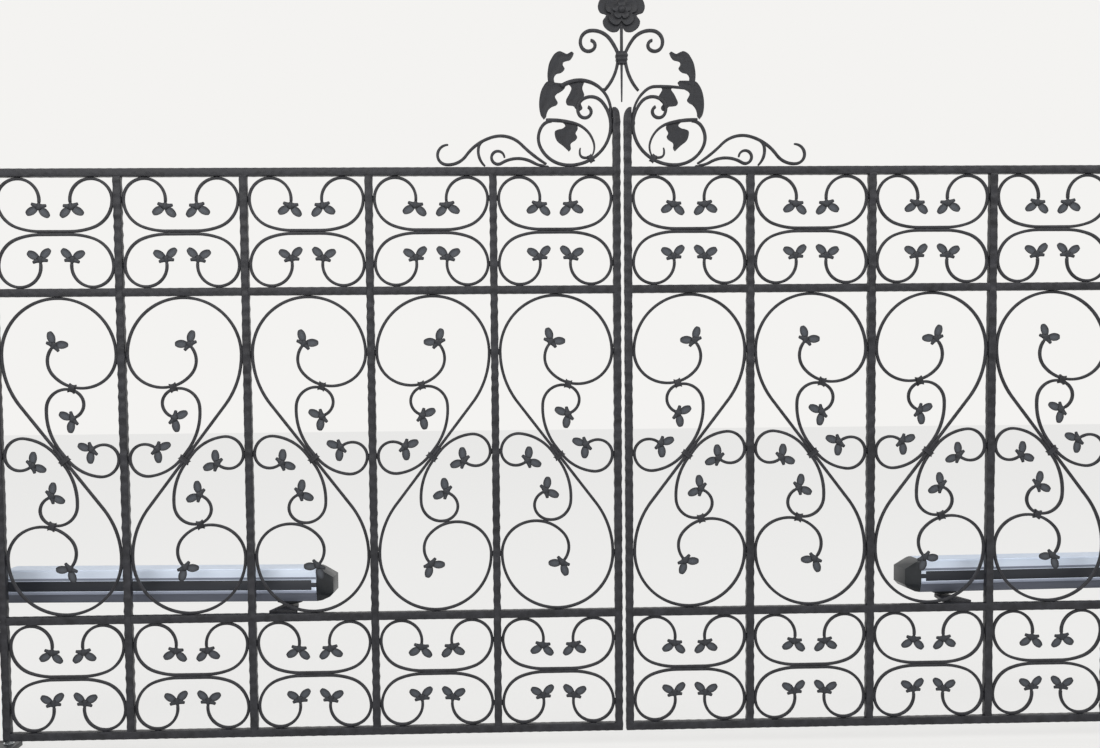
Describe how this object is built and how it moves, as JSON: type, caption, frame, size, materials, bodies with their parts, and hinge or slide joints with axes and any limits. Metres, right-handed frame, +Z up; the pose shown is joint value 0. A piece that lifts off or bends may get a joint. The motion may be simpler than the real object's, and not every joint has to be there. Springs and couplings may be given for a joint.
{
  "type": "wrought iron driveway gate",
  "caption": "Double driveway gate of forged scroll panels under a scrolled crown, on square posts, with linear gate operators.",
  "frame": {"origin": "middle of the left post's foot, on its underside, at ground level", "axes": "+X along the closed gate towards the right post, +Y into the courtyard that the leaves open into, +Z up"},
  "size_m": [4.32, 0.3103, 2.375],
  "materials": {
    "painted_iron": "charcoal satin paint over hammered forged bar",
    "painted_steel": "charcoal satin paint",
    "operator_aluminium": "extruded, clear anodised",
    "operator_black": "moulded black plastic",
    "operator_cast": "black powder coat on cast metal"
  },
  "bodies": {
    "posts": {"left_post": "painted_steel", "right_post": "painted_steel", "post_feet": "painted_steel", "post_caps": "painted_steel", "hinge_pins": "painted_iron", "operator_post_brackets": "painted_steel"},
    "left_leaf": {"left_hinge_stile": "painted_iron", "left_meeting_stile": "painted_iron", "left_uprights": "painted_iron", "left_top_rail": "painted_iron", "left_bottom_rail": "painted_iron", "left_upper_mid_rail": "painted_iron", "left_lower_mid_rail": "painted_iron", "left_upper_band": "painted_iron", "left_lower_band": "painted_iron", "left_centre_panels": "painted_iron", "left_hinge_barrels": "painted_iron", "left_leaf_bracket": "painted_iron", "left_crown_bars": "painted_iron", "left_crown_leaves": "painted_iron", "left_crown_wave": "painted_iron", "finial_bars": "painted_iron", "finial_rosette": "painted_iron"},
    "right_leaf": {"right_hinge_stile": "painted_iron", "right_meeting_stile": "painted_iron", "right_uprights": "painted_iron", "right_top_rail": "painted_iron", "right_bottom_rail": "painted_iron", "right_upper_mid_rail": "painted_iron", "right_lower_mid_rail": "painted_iron", "right_upper_band": "painted_iron", "right_lower_band": "painted_iron", "right_centre_panels": "painted_iron", "right_hinge_barrels": "painted_iron", "right_leaf_bracket": "painted_iron", "right_crown_bars": "painted_iron", "right_crown_leaves": "painted_iron", "right_crown_wave": "painted_iron"},
    "left_operator": {"left_operator_housing": "operator_aluminium", "left_operator_strip": "operator_black", "left_operator_end_cap": "operator_black", "left_operator_rear": "operator_cast"},
    "right_operator": {"right_operator_housing": "operator_aluminium", "right_operator_strip": "operator_black", "right_operator_end_cap": "operator_black", "right_operator_rear": "operator_cast"},
    "left_carriage": {"left_operator_carriage": "operator_cast"},
    "right_carriage": {"right_operator_carriage": "operator_cast"}
  },
  "joints": [
    {"name": "left_leaf_swing", "type": "hinge", "parent": "posts", "child": "left_leaf", "pos_m": [0.075, 0, 0.33], "axis": [0, 0, 1], "range_deg": [0, 90]},
    {"name": "left_operator_swing", "type": "hinge", "parent": "posts", "child": "left_operator", "pos_m": [-0.01, 0.16, 0.515], "axis": [0, 0, 1], "range_deg": [0, 95]},
    {"name": "left_carriage_slide", "type": "slide", "parent": "left_operator", "child": "left_carriage", "axis": [-0.999, 0.0453, 0], "range_m": [0, 0.2464]},
    {"name": "right_leaf_swing", "type": "hinge", "parent": "posts", "child": "right_leaf", "pos_m": [4.025, 0, 0.33], "axis": [0, 0, -1], "range_deg": [0, 90]},
    {"name": "right_operator_swing", "type": "hinge", "parent": "posts", "child": "right_operator", "pos_m": [4.11, 0.16, 0.515], "axis": [0, 0, -1], "range_deg": [0, 95]},
    {"name": "right_carriage_slide", "type": "slide", "parent": "right_operator", "child": "right_carriage", "axis": [0.999, 0.0453, 0], "range_m": [0, 0.2464]}
  ],
  "couplings": [
    {"joint": "left_operator_swing", "follows": "left_leaf_swing", "ratio": 1.0544},
    {"joint": "left_carriage_slide", "follows": "left_leaf_swing", "m_per_rad": 0.15624},
    {"joint": "right_operator_swing", "follows": "right_leaf_swing", "ratio": 1.0544},
    {"joint": "right_carriage_slide", "follows": "right_leaf_swing", "m_per_rad": 0.15624}
  ]
}
